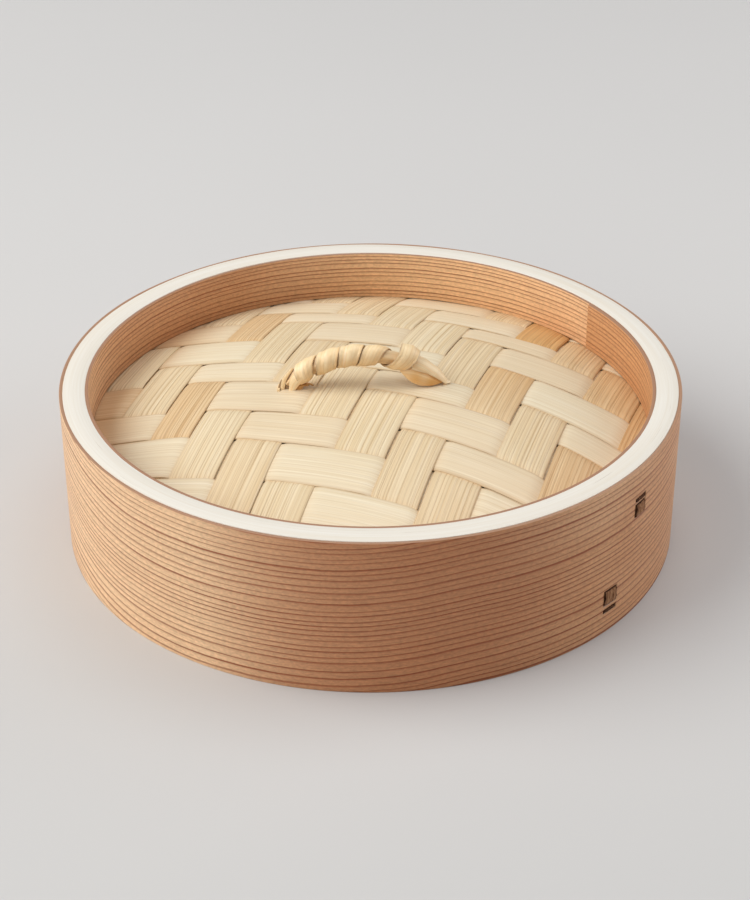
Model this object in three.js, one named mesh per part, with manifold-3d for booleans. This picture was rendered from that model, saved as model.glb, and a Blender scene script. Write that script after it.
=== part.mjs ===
// Domed lid of a round bamboo and cedar steamer, 21 cm across.
// Millimetres, +Z up, origin at the centre of the face that rests on the basket.
import * as THREE from 'three';
import { mergeVertices } from 'three/addons/utils/BufferGeometryUtils.js';
import Module from 'manifold-3d';

const wasm = await Module();
wasm.setup();

// ---- Driving dimensions ----
const OUTER_R = 105;          // outside of the cedar band
const WALL_HEIGHT = 55;
const BAND_THICKNESS = 1.5;
const CORE_THICKNESS = 6.6;   // white wood hoop inside the band
const LINER_THICKNESS = 1.1;  // cedar strip that lines the hoop
const GAP = 0.3;              // air between neighbouring pieces
const RING_SEGMENTS = 64;

const DOME_R = 309.6;         // sphere that the woven roof follows
const LINING_APEX_Z = 49.6;   // middle of the lining sheet at the centre of the lid
const LINING_THICKNESS = 0.5;
const STRIP_THICKNESS = 0.6;
const WEAVE_RISE = 0.45;      // how far a strip climbs or dips at a crossing
const MAT_LEVEL = 1.4;        // middle of a woven mat above or below the lining's middle
const GROOVE_R = 99;          // the mats' edge, trapped between the hoops

const UPPER_TURN = THREE.MathUtils.degToRad(-15.5);   // direction of the long strips
const STRIP_GAP = 1.4;
const LONG_WIDTHS = [15, 17, 17.7, 15.2, 18.9, 13, 18.8, 17.9, 10.9, 15.6, 15.5];
const LONG_START = -94;
const CROSS_WIDTHS = [13.8, 15.4, 12.6, 14.8, 15.1, 15.6, 16.6, 14.8, 15.2, 15.6, 16.4, 12.2];
const CROSS_START = -95.4;
const CROSS_LEAN = 0.035;     // hand weaving: the cross strips lean ...
const CROSS_BEND = 0.00025;   // ... and bend, per millimetre
const LONG_BOW = 0.0009;      // and the long strips bow, more on the right
const LONG_BOW_GROWTH = 110;
const LOWER_TURN = THREE.MathUtils.degToRad(29.5);
const LOWER_WIDTHS = Array(9).fill(19.8);
const LOWER_START = -94.7;

const HANDLE_MIDDLE = new THREE.Vector2(-3, -0.3);
const HANDLE_TURN = THREE.MathUtils.degToRad(3.5);
const HANDLE_HALF_SPAN = 27.5;
const HANDLE_RISE = 11.7;
const HANDLE_POWER = 2.1;      // 2 is a parabola, more is flatter on top
const HANDLE_FOOT_Z = 50.8;
const CORE_HALF = 2.9;        // half thickness of the bundle under the wrap
const CORE_FLAT_HALF = 0.5;   // and at the feet
const CORE_FLAT_FROM = 0.78;  // part of the half span where it starts to flatten
const CORE_FLAT_TO = 0.95;
const RIBBON_WIDTH = 6;
const RIBBON_THICKNESS = 0.65;
const RIBBON_TURNS = 5.3;
const RIBBON_START = -0.78;   // parts of the half span that the ribbon covers
const RIBBON_END = 0.62;
const TAIL_WIDTH = 4.6;
const TAIL_THICKNESS = 1.2;
const TAIL_FOLD = 12;         // length of the end folded flat under the roof
const TAIL_TOP_Z = 50.95;

const STITCH_WIDTH = 6;
const STITCH_THICKNESS = 0.55;
const STITCH_BRIDGE = 1.3;    // wood left showing between a stitch's patch and its short bar
const STITCH_BAR = 1.0;

// ---- Materials ----
const wood = (color, roughness = 0.7) => new THREE.MeshStandardMaterial({ color, roughness, metalness: 0 });
const cedar = wood(0xb98a66);
const paleWood = wood(0xede6da);
const bamboo = wood(0xe6d4ae, 0.55);
const goldenBamboo = wood(0xd3a56c, 0.55);
const leaf = wood(0x9c8a58);
const bark = wood(0x4d3526);

// ---- Solids ----
// A closed body through rings of equally many points, each ring ordered anticlockwise
// when looked at against the direction of travel.
function loft(rings) {
  const sides = rings[0].length;
  const position = rings.flat().flatMap((p) => [p.x, p.y, p.z]);
  const index = [];
  for (let k = 0; k + 1 < rings.length; k += 1) {
    for (let i = 0; i < sides; i += 1) {
      const a = k * sides + i;
      const b = k * sides + (i + 1) % sides;
      index.push(a, b, b + sides, a, b + sides, a + sides);
    }
  }
  const last = (rings.length - 1) * sides;
  for (let i = 1; i + 1 < sides; i += 1) {
    index.push(0, i + 1, i, last, last + i, last + i + 1);
  }
  const geometry = new THREE.BufferGeometry();
  geometry.setAttribute('position', new THREE.Float32BufferAttribute(position, 3));
  geometry.setIndex(index);
  return geometry;
}

// A ring or disc from an outline of [radius, height] points, turned about Z.
function turned(outline, closed = true) {
  const points = outline.map(([r, z]) => new THREE.Vector2(r, z));
  if (closed) points.push(points[0].clone());
  return new THREE.LatheGeometry(points, RING_SEGMENTS).rotateX(Math.PI / 2);
}

function toSolid(geometry) {
  const bare = geometry.clone();
  bare.deleteAttribute('normal');
  bare.deleteAttribute('uv');
  const merged = mergeVertices(bare, 1e-4);
  return new wasm.Manifold(new wasm.Mesh({
    numProp: 3,
    vertProperties: new Float32Array(merged.attributes.position.array),
    triVerts: new Uint32Array(merged.index.array),
  }));
}

function cut(geometry, cutters) {
  const solid = cutters.reduce((left, cutter) => left.subtract(toSolid(cutter)), toSolid(geometry));
  const { vertProperties, triVerts } = solid.getMesh();
  const result = new THREE.BufferGeometry();
  result.setAttribute('position', new THREE.BufferAttribute(vertProperties, 3));
  result.setIndex(new THREE.BufferAttribute(triVerts, 1));
  return result;
}

const lid = new THREE.Group();
function add(name, geometry, material) {
  const mesh = new THREE.Mesh(geometry.index ? geometry : mergeVertices(geometry), material);
  mesh.name = name;
  lid.add(mesh);
}

// ---- Dome ----
const domeZ = (x, y) => LINING_APEX_Z - DOME_R + Math.sqrt(DOME_R ** 2 - x * x - y * y);
const domeAt = (r) => domeZ(r, 0);
const STACK_HALF = MAT_LEVEL + WEAVE_RISE + STRIP_THICKNESS / 2;

// ---- Wall: a cedar band, a white wood hoop in two halves and a cedar liner in two halves ----
const bandInner = OUTER_R - BAND_THICKNESS;
const coreOuter = bandInner - GAP;
const coreInner = coreOuter - CORE_THICKNESS;
const linerOuter = coreInner - GAP;
const linerInner = linerOuter - LINER_THICKNESS;
const grooveEnd = GROOVE_R + GAP + 0.1;
const aboveMats = (r) => domeAt(r) + STACK_HALF + GAP;
const belowMats = (r) => domeAt(r) - STACK_HALF - GAP;
const hoopJointZ = domeAt(grooveEnd);

// The outline of a stitch in radius and height, or of the slot it sits in when grown.
function stitchOutline(patchHeight, grow) {
  const innerR = grow > 0 ? bandInner - GAP / 2 : bandInner + GAP;
  const outerR = OUTER_R + STITCH_THICKNESS + grow;
  const backR = bandInner + GAP + STITCH_THICKNESS + grow;
  const underR = OUTER_R - grow;
  const barStart = patchHeight + STITCH_BRIDGE - grow;
  const barEnd = patchHeight + STITCH_BRIDGE + STITCH_BAR + grow;
  const patchTop = patchHeight + grow;
  const legTop = STITCH_THICKNESS + grow;
  const topLeg = patchHeight - STITCH_THICKNESS - grow;
  return [
    [innerR, -grow], [outerR, -grow], [outerR, patchTop], [backR, patchTop], [backR, barStart],
    [outerR, barStart], [outerR, barEnd], [innerR, barEnd], [innerR, topLeg], [underR, topLeg],
    [underR, legTop], [innerR, legTop],
  ];
}

// barSide is 1 for a bar above the patch and -1 for a bar below it.
function stitch({ azimuth, centreZ, patchHeight, barSide }, grow = 0) {
  const outline = stitchOutline(patchHeight, grow)
    .map(([r, z]) => new THREE.Vector2(r, barSide * (z - patchHeight / 2)));
  const width = STITCH_WIDTH + 2 * grow;
  return new THREE.ExtrudeGeometry(new THREE.Shape(outline), { depth: width, bevelEnabled: false })
    .translate(0, 0, -width / 2)
    .rotateX(Math.PI / 2)
    .rotateZ(azimuth)
    .translate(0, 0, centreZ);
}

const stitches = {
  stitch_upper: { azimuth: THREE.MathUtils.degToRad(-35.2), centreZ: 39.6, patchHeight: 4.6, barSide: 1 },
  stitch_lower: { azimuth: THREE.MathUtils.degToRad(-43.1), centreZ: 13.5, patchHeight: 5.4, barSide: -1 },
};

const band = turned([[bandInner, 0], [OUTER_R, 0], [OUTER_R, WALL_HEIGHT], [bandInner, WALL_HEIGHT]]);
add('outer_band', cut(band, Object.values(stitches).map((each) => stitch(each, GAP))), cedar);
for (const [name, each] of Object.entries(stitches)) add(name, stitch(each), bark);

add('core_hoop_upper', turned([
  [coreInner, aboveMats(coreInner)], [grooveEnd, aboveMats(grooveEnd)],
  [grooveEnd, hoopJointZ + GAP / 2], [coreOuter, hoopJointZ + GAP / 2],
  [coreOuter, WALL_HEIGHT], [coreInner, WALL_HEIGHT],
]), paleWood);
add('core_hoop_lower', turned([
  [coreInner, 0], [coreOuter, 0],
  [coreOuter, hoopJointZ - GAP / 2], [grooveEnd, hoopJointZ - GAP / 2],
  [grooveEnd, belowMats(grooveEnd)], [coreInner, belowMats(coreInner)],
]), paleWood);
add('liner_upper', turned([
  [linerInner, aboveMats(linerInner)], [linerOuter, aboveMats(linerOuter)],
  [linerOuter, WALL_HEIGHT], [linerInner, WALL_HEIGHT],
]), cedar);
add('liner_lower', turned([
  [linerInner, 0], [linerOuter, 0],
  [linerOuter, belowMats(linerOuter)], [linerInner, belowMats(linerInner)],
]), cedar);

// ---- Handle: an arched bundle of split bamboo, a ribbon wound round it and two folded tails ----
const handleAxis = new THREE.Vector3(Math.cos(HANDLE_TURN), Math.sin(HANDLE_TURN), 0);
const handleAcross = new THREE.Vector3(-handleAxis.y, handleAxis.x, 0);
function archPoint(along) {
  const height = HANDLE_RISE * (1 - Math.abs(along) ** HANDLE_POWER);
  return new THREE.Vector3(HANDLE_MIDDLE.x, HANDLE_MIDDLE.y, HANDLE_FOOT_Z + height)
    .addScaledVector(handleAxis, along * HANDLE_HALF_SPAN);
}

function archFrame(along) {
  const step = 0.01;
  const tangent = archPoint(along + step).sub(archPoint(along - step)).normalize();
  const up = new THREE.Vector3().crossVectors(tangent, handleAcross).normalize();
  return { centre: archPoint(along), up };
}

// The bundle is round under the ribbon and flattens to a thin strip at each foot.
function bundleRing(along) {
  const { centre, up } = archFrame(along);
  const flat = THREE.MathUtils.smoothstep(Math.abs(along), CORE_FLAT_FROM, CORE_FLAT_TO);
  const halfWide = THREE.MathUtils.lerp(CORE_HALF, TAIL_WIDTH / 2, flat);
  const halfThick = THREE.MathUtils.lerp(CORE_HALF, CORE_FLAT_HALF, flat);
  return Array.from({ length: 8 }, (_, i) => {
    const angle = ((i + 0.5) / 8) * 2 * Math.PI;
    return centre.clone()
      .addScaledVector(handleAcross, halfWide * Math.cos(angle))
      .addScaledVector(up, halfThick * Math.sin(angle));
  });
}
const BUNDLE_STEPS = 18;
const BUNDLE_END = 0.95;
const bundleRings = Array.from({ length: BUNDLE_STEPS + 1 }, (_, k) => (
  bundleRing(BUNDLE_END * (2 * k / BUNDLE_STEPS - 1))
));

// The ribbon is a flat strip wound in a helix, its width along the arch. It starts on top and
// goes down behind the bundle.
function ribbonRing(turn) {
  const along = THREE.MathUtils.lerp(RIBBON_START, RIBBON_END, turn / RIBBON_TURNS);
  const angle = Math.PI / 2 - turn * 2 * Math.PI;
  const inner = CORE_HALF + GAP;
  const outer = inner + RIBBON_THICKNESS;
  const halfWidth = RIBBON_WIDTH / 2 / HANDLE_HALF_SPAN;
  const corner = (offset, radius) => {
    const { centre, up } = archFrame(along + offset);
    return centre
      .addScaledVector(handleAcross, radius * Math.cos(angle))
      .addScaledVector(up, radius * Math.sin(angle));
  };
  return [
    corner(-halfWidth, outer), corner(halfWidth, outer), corner(halfWidth, inner), corner(-halfWidth, inner),
  ];
}
const RIBBON_STEPS = 56;
const ribbonRings = Array.from({ length: RIBBON_STEPS + 1 }, (_, k) => (
  ribbonRing(RIBBON_TURNS * k / RIBBON_STEPS)
));
add('handle_bundle', loft(bundleRings), bamboo);
add('handle_ribbon', loft(ribbonRings), bamboo);

// A tail goes down through a slit in both mats and folds outwards under them.
const footX = (side) => side * (HANDLE_HALF_SPAN + 0.3);
function placeTail(geometry) {
  return geometry.rotateX(Math.PI / 2).rotateZ(HANDLE_TURN).translate(HANDLE_MIDDLE.x, HANDLE_MIDDLE.y, 0);
}
function tail(side) {
  const half = TAIL_THICKNESS / 2;
  const underMats = (out) => belowMats(Math.abs(HANDLE_MIDDLE.x + footX(side)) + out) - GAP;
  const outline = [
    [-half, TAIL_TOP_Z], [half, TAIL_TOP_Z], [half, underMats(half)], [TAIL_FOLD, underMats(TAIL_FOLD)],
    [TAIL_FOLD, underMats(TAIL_FOLD) - TAIL_THICKNESS], [-half, underMats(-half) - TAIL_THICKNESS],
  ].map(([out, z]) => new THREE.Vector2(footX(side) + side * out, z));
  const shape = new THREE.Shape(outline);
  const body = new THREE.ExtrudeGeometry(shape, { depth: TAIL_WIDTH, bevelEnabled: false });
  return placeTail(body.translate(0, 0, -TAIL_WIDTH / 2));
}
function slit(side) {
  const cutter = new THREE.BoxGeometry(TAIL_THICKNESS + 2 * GAP, WALL_HEIGHT, TAIL_WIDTH + 2 * GAP);
  return placeTail(cutter.translate(footX(side), WALL_HEIGHT / 2, 0));
}
add('handle_tail_left', tail(-1), bamboo);
add('handle_tail_right', tail(1), bamboo);

const slits = [slit(-1), slit(1)];
slits.forEach((each) => each.computeBoundingBox());
function withSlits(geometry) {
  geometry.computeBoundingBox();
  const near = slits.filter((each) => each.boundingBox.intersectsBox(geometry.boundingBox));
  return near.length ? cut(geometry, near) : geometry;
}

// ---- Roof: a leaf lining between two woven mats ----
const LINING_RINGS = 5;
const liningRadii = Array.from({ length: LINING_RINGS + 1 }, (_, k) => GROOVE_R * k / LINING_RINGS);
const liningFace = (side) => liningRadii.map((r) => [r, domeAt(r) + side * LINING_THICKNESS / 2]);
add('lining_sheet', withSlits(turned([...liningFace(-1), ...liningFace(1).reverse()], false)), leaf);

// Low and high edges of strips laid side by side.
function edges(start, widths) {
  let low = start;
  return widths.map((width) => {
    const pair = [low, low + width];
    low += width + STRIP_GAP;
    return pair;
  });
}

// Hand weaving bends the grid a little: the cross strips lean and the long strips bow.
const handWoven = (s, t) => [
  s + CROSS_LEAN * t + CROSS_BEND * t * t,
  t - LONG_BOW * s * s * (1 + s / LONG_BOW_GROWTH),
];
const evenlyWoven = (s, t) => [s, t];

// How far a line of the weave runs from the middle to the groove.
function reach(radiusAt) {
  let inside = 0;
  let outside = 120;
  for (let i = 0; i < 30; i += 1) {
    const middle = (inside + outside) / 2;
    if (radiusAt(middle) < GROOVE_R) inside = middle;
    else outside = middle;
  }
  return inside;
}

const TIP_SETBACK = 0.4;      // a strip's tip stops this far inside the groove
const KNOT_SPACING = 0.9;     // a strip bends at least this far from its tips and other bends

// One strip: [low, high] are its edges, crossings the edges of the strips it meets, and
// isOver(i) says whether it passes over crossing i. at(along, across) is a point of the grid,
// and crosswise says that across lies to the right of along, seen from above.
function strip({ low, high, crossings, isOver, at, level, crosswise }) {
  const radius = (along, across) => at(along, across).length();
  const [inner, outer] = Math.abs(low) < Math.abs(high) ? [low, high] : [high, low];
  const knots = [];
  for (const side of [-1, 1]) {
    knots.push(side * (reach((d) => radius(side * d, inner)) - TIP_SETBACK));
    knots.push(side * reach((d) => radius(side * d, outer)));
  }
  const [start, , end] = knots;
  for (let i = 0; i + 1 < crossings.length; i += 1) {
    const [gapStart, gapEnd] = [crossings[i][1], crossings[i + 1][0]];
    knots.push(...(isOver(i) === isOver(i + 1) ? [(gapStart + gapEnd) / 2] : [gapStart, gapEnd]));
  }
  const kept = knots
    .filter((k, i) => k >= start && k <= end && (i > 3 || i % 2 === 0
      || knots.slice(4).every((other) => Math.abs(other - k) > KNOT_SPACING)))
    .filter((k, i, all) => k === start || k === end
      || (k - start > KNOT_SPACING && end - k > KNOT_SPACING && all.indexOf(k) === i))
    .sort((a, b) => a - b);
  const rise = (along) => {
    const next = crossings.findIndex(([, farEdge]) => along <= farEdge);
    const i = next < 0 ? crossings.length - 1 : next;
    const here = isOver(i) ? 1 : -1;
    if (i === 0 || along >= crossings[i][0]) return here * WEAVE_RISE;
    const before = isOver(i - 1) ? 1 : -1;
    const [from, to] = [crossings[i - 1][1], crossings[i][0]];
    return THREE.MathUtils.mapLinear(along, from, to, before, here) * WEAVE_RISE;
  };
  const rings = kept.map((along) => {
    const least = Math.max(low, -reach((d) => radius(along, -d)));
    const most = Math.min(high, reach((d) => radius(along, d)));
    const height = level + rise(THREE.MathUtils.clamp(along, start + KNOT_SPACING, end - KNOT_SPACING));
    const corner = (across, side) => {
      const { x, y } = at(along, across);
      return new THREE.Vector3(x, y, domeZ(x, y) + height + side * STRIP_THICKNESS / 2);
    };
    const ring = [corner(least, -1), corner(most, -1), corner(most, 1), corner(least, 1)];
    return crosswise ? ring.reverse() : ring;
  });
  return loft(rings);
}

// A mat in 2/2 twill: each strip passes over two and under two, one step on from its neighbour.
function mat({ name, turn, level, bend, long, cross, longPaint, crossPaint }) {
  const at = (s, t) => new THREE.Vector2(...bend(s, t)).rotateAround(new THREE.Vector2(), turn);
  const longOver = (j, i) => (i + j + 3) % 4 >= 2;
  long.forEach(([low, high], j) => {
    const geometry = strip({ low, high, crossings: cross, isOver: (i) => longOver(j, i), at, level });
    add(`${name}_long_strip_${j + 1}`, withSlits(geometry), longPaint(j));
  });
  cross.forEach(([low, high], i) => {
    const isOver = (j) => !longOver(j, i);
    const turnedAt = (along, across) => at(across, along);
    const geometry = strip({ low, high, crossings: long, isOver, at: turnedAt, level, crosswise: true });
    add(`${name}_cross_strip_${i + 1}`, withSlits(geometry), crossPaint(i));
  });
}

const GOLDEN_CROSS = [2, 8, 10, 11];
mat({
  name: 'upper_mat',
  turn: UPPER_TURN,
  level: MAT_LEVEL,
  bend: handWoven,
  long: edges(LONG_START, LONG_WIDTHS),
  cross: edges(CROSS_START, CROSS_WIDTHS),
  longPaint: () => bamboo,
  crossPaint: (i) => (GOLDEN_CROSS.includes(i) ? goldenBamboo : bamboo),
});
mat({
  name: 'lower_mat',
  turn: LOWER_TURN,
  level: -MAT_LEVEL,
  bend: evenlyWoven,
  long: edges(LOWER_START, LOWER_WIDTHS),
  cross: edges(LOWER_START, LOWER_WIDTHS),
  longPaint: () => bamboo,
  crossPaint: () => bamboo,
});

export default lid;
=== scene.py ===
import math

import bpy
import numpy as np
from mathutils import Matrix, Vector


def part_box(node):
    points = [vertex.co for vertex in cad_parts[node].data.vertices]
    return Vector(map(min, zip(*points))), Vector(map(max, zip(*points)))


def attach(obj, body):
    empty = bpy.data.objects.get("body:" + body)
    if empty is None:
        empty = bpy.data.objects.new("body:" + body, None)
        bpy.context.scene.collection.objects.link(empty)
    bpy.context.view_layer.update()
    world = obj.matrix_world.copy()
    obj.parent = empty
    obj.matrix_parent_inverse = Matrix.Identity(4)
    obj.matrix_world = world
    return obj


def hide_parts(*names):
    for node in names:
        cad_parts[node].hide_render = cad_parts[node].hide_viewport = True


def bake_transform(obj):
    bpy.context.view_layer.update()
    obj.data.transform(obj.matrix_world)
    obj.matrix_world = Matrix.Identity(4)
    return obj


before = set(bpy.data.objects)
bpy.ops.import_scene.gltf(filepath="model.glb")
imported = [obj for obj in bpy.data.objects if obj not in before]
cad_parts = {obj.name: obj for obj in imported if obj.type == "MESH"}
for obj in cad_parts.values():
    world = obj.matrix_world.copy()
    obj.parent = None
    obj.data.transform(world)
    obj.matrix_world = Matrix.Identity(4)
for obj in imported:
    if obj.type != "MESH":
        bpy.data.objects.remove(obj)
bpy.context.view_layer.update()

# The lid of a round cedar and bamboo steamer. Lengths below are in millimetres, and MM turns
# them into Blender's metres where a mesh is made. Heights and radii come from the frame.
MM = 0.001
rng = np.random.default_rng(21)


def node_points(node):
    """A CAD node's vertices in millimetres."""
    return np.array([v.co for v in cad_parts[node].data.vertices]) / MM


WALL_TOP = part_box("outer_band")[1].z / MM
BAND_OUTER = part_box("outer_band")[1].x / MM
LINER_INNER = np.hypot(*node_points("liner_upper")[:, :2].T).min()
LINING_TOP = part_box("lining_sheet")[1].z / MM
LINING_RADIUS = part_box("lining_sheet")[1].x / MM

DOME_R = 309.6               # the roof's sphere
LINING_THICKNESS = 0.5
LINING_APEX = LINING_TOP - LINING_THICKNESS / 2
MAT_LEVEL = 1.4
STRIP_THICKNESS = 0.62
WEAVE_RISE = 0.5
WEAVE_EASE = 6.0             # length over which a strip changes from over to under
STRIP_CROWN = 0.26           # how much a strip is arched across its width
STRIP_GAP = 1.4              # gap between two strips side by side in the CAD model
GAP_CLOSED = 0.42            # how far the real edges reach into that gap, each side
STRIP_STEP = 1.4             # spacing of the points along a strip
STRIP_END_ROOM = 0.3         # a strip stops this far before the mats' trapped edge
GROOVE_DEPTH = 0.12
GROOVE_HALF_WIDTH = 0.17
STRIP_ROUNDING = 0.16        # at the strips' edges
# Strip widths, measured from the front long strip and from the left cross strip.
LONG_WIDTHS = [15, 17, 17.7, 15.2, 18.9, 13, 18.8, 17.9, 10.9, 15.6, 15.5]
LONG_START = -94
CROSS_WIDTHS = [13.8, 15.4, 12.6, 14.8, 15.1, 15.6, 16.6, 14.8, 15.2, 15.6, 16.4, 12.2]
CROSS_START = -95.4
UPPER_TURN = math.radians(-15.5)
LOWER_TURN = math.radians(29.5)
LOWER_WIDTHS = [19.8] * 9
LOWER_START = -94.7
UPPER_COLUMNS = (18, 64)     # points across each long and each cross strip
UPPER_GROOVES = (7, 10)
LOWER_COLUMNS = (16, 24)

HANDLE_MIDDLE = np.array([-3.0, -0.3])
HANDLE_TURN = math.radians(3.5)
HANDLE_HALF_SPAN = 27.5
HANDLE_RISE = 11.7
HANDLE_POWER = 2.1           # 2 is a parabola; a little more has a flatter top
HANDLE_FOOT_Z = 50.8

# ---------------------------------------------------------------- camera, light and floor
CAMERA_PLACE = (0.0015, -0.6149, 0.3897)
CAMERA_DIP = math.radians(30.67)
CAMERA_LENS = 82.44


WORLD_COLOUR = (0.94, 0.975, 1.05, 1)
WORLD_STRENGTH = 0.22
LIGHT_TARGET = (0, 0, 0.03)
# Each soft light's name, place, diameter, power and colour.
LIGHTS = (("key", (-1.63, -0.15, 1.47), 2.2, 45.5, (1.0, 0.99, 0.965)),
          ("front", (-0.95, -1.35, 1.0), 1.5, 6.5, (1.0, 0.98, 0.95)),
          ("top", (0.5, 0.5, 2.1), 1.6, 12, (0.97, 0.99, 1.0)),
          ("fill", (1.35, 0.3, 0.5), 1.2, 8.5, (1.0, 0.98, 0.98)))
FLOOR_HALF = 9000


def make_camera():
    data = bpy.data.cameras.new("camera")
    data.lens = CAMERA_LENS
    data.sensor_width = 36
    data.clip_start, data.clip_end = 0.01, 50
    camera = bpy.data.objects.new("camera", data)
    camera.location = CAMERA_PLACE
    camera.rotation_euler = (math.pi / 2 - CAMERA_DIP, 0, 0)
    bpy.context.collection.objects.link(camera)
    bpy.context.scene.camera = camera


def area_light(name, place, size, power, colour):
    data = bpy.data.lights.new(name, "AREA")
    data.shape, data.size, data.energy, data.color = "DISK", size, power, colour
    lamp = bpy.data.objects.new(name, data)
    lamp.location = place
    direction = np.array(LIGHT_TARGET, float) - np.array(place, float)
    yaw = math.atan2(direction[1], direction[0]) - math.pi / 2
    pitch = math.atan2(direction[2], math.hypot(direction[0], direction[1]))
    lamp.rotation_euler = (math.pi / 2 + pitch, 0, yaw)
    bpy.context.collection.objects.link(lamp)


def make_studio():
    scene = bpy.context.scene
    scene.view_settings.view_transform = "Standard"
    world = bpy.data.worlds.new("studio")
    world.use_nodes = True
    background = world.node_tree.nodes["Background"]
    background.inputs["Color"].default_value = WORLD_COLOUR
    background.inputs["Strength"].default_value = WORLD_STRENGTH
    scene.world = world
    for light in LIGHTS:
        area_light(*light)


# ---------------------------------------------------------------- material building
class Graph:
    """A short way to write a node material."""

    def __init__(self, name, roughness):
        self.material = bpy.data.materials.new(name)
        self.material.use_nodes = True
        self.tree = self.material.node_tree
        self.shader = self.tree.nodes["Principled BSDF"]
        self.shader.inputs["Roughness"].default_value = roughness

    def node(self, kind, inputs=None, **settings):
        made = self.tree.nodes.new(kind)
        for key, value in settings.items():
            setattr(made, key, value)
        for key, value in (inputs or {}).items():
            if isinstance(value, bpy.types.NodeSocket):
                self.tree.links.new(value, made.inputs[key])
            else:
                made.inputs[key].default_value = value
        return made

    def math(self, operation, a, b=0.0):
        return self.node("ShaderNodeMath", {0: a, 1: b}, operation=operation).outputs[0]

    def times(self, a, b):
        return self.math("MULTIPLY", a, b)

    def plus(self, a, b):
        return self.math("ADD", a, b)

    def minus(self, a, b):
        return self.math("SUBTRACT", a, b)

    def vector(self, x, y, z=0.0):
        return self.node("ShaderNodeCombineXYZ", {0: x, 1: y, 2: z}).outputs[0]

    def noise(self, vector, scale=1.0, detail=3.0, roughness=0.55):
        inputs = {"Vector": vector, "Scale": scale, "Detail": detail, "Roughness": roughness}
        return self.node("ShaderNodeTexNoise", inputs).outputs["Fac"]

    def remap(self, value, low, high, new_low=0.0, new_high=1.0):
        inputs = {"Value": value, 1: low, 2: high, 3: new_low, 4: new_high}
        return self.node("ShaderNodeMapRange", inputs).outputs[0]

    def mix(self, factor, a, b, blend="MIX"):
        made = self.node("ShaderNodeMix", data_type="RGBA", blend_type=blend)
        for socket, value in zip((made.inputs[0], made.inputs[6], made.inputs[7]), (factor, a, b)):
            if isinstance(value, bpy.types.NodeSocket):
                self.tree.links.new(value, socket)
            else:
                socket.default_value = value
        return made.outputs[2]

    def shaded(self, colour, value):
        """The colour made darker or lighter by a value near 1."""
        grey = self.node("ShaderNodeCombineColor", {0: value, 1: value, 2: value}).outputs[0]
        return self.mix(1.0, colour, grey, "MULTIPLY")

    def parts(self, vector):
        return self.node("ShaderNodeSeparateXYZ", {0: vector}).outputs

    def object_place(self):
        return self.node("ShaderNodeTexCoord").outputs["Object"]

    def grain_place(self):
        """Millimetres along and across the fibres of a strip."""
        return self.parts(self.node("ShaderNodeUVMap", uv_map="grain").outputs[0])[:2]

    def attribute(self, name):
        return self.node("ShaderNodeAttribute", attribute_name=name).outputs["Fac"]

    def finish(self, colour, height=None, depth=0.0001, strength=0.5):
        self.tree.links.new(colour, self.shader.inputs["Base Color"])
        if height is not None:
            bump = self.node("ShaderNodeBump", {"Height": height, "Distance": depth, "Strength": strength})
            self.tree.links.new(bump.outputs[0], self.shader.inputs["Normal"])
        return self.material


def srgb(r, g, b):
    """A colour as it looks on screen, 0 to 255, in Blender's linear values."""
    return tuple(((c / 255 + 0.055) / 1.055) ** 2.4 if c > 10 else c / 255 / 12.92 for c in (r, g, b)) + (1,)


# Darkness across one growth ring of cedar, from the pale early wood to the thin dark late wood.
RING_SHAPE = ((0.0, 0.25), (0.05, 0.0), (0.5, 0.06), (0.72, 0.3), (0.82, 1.0), (0.95, 1.0), (1.0, 0.5))
DIP_AZIMUTH = -116
DIP_HALF_WIDTH = 46


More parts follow.
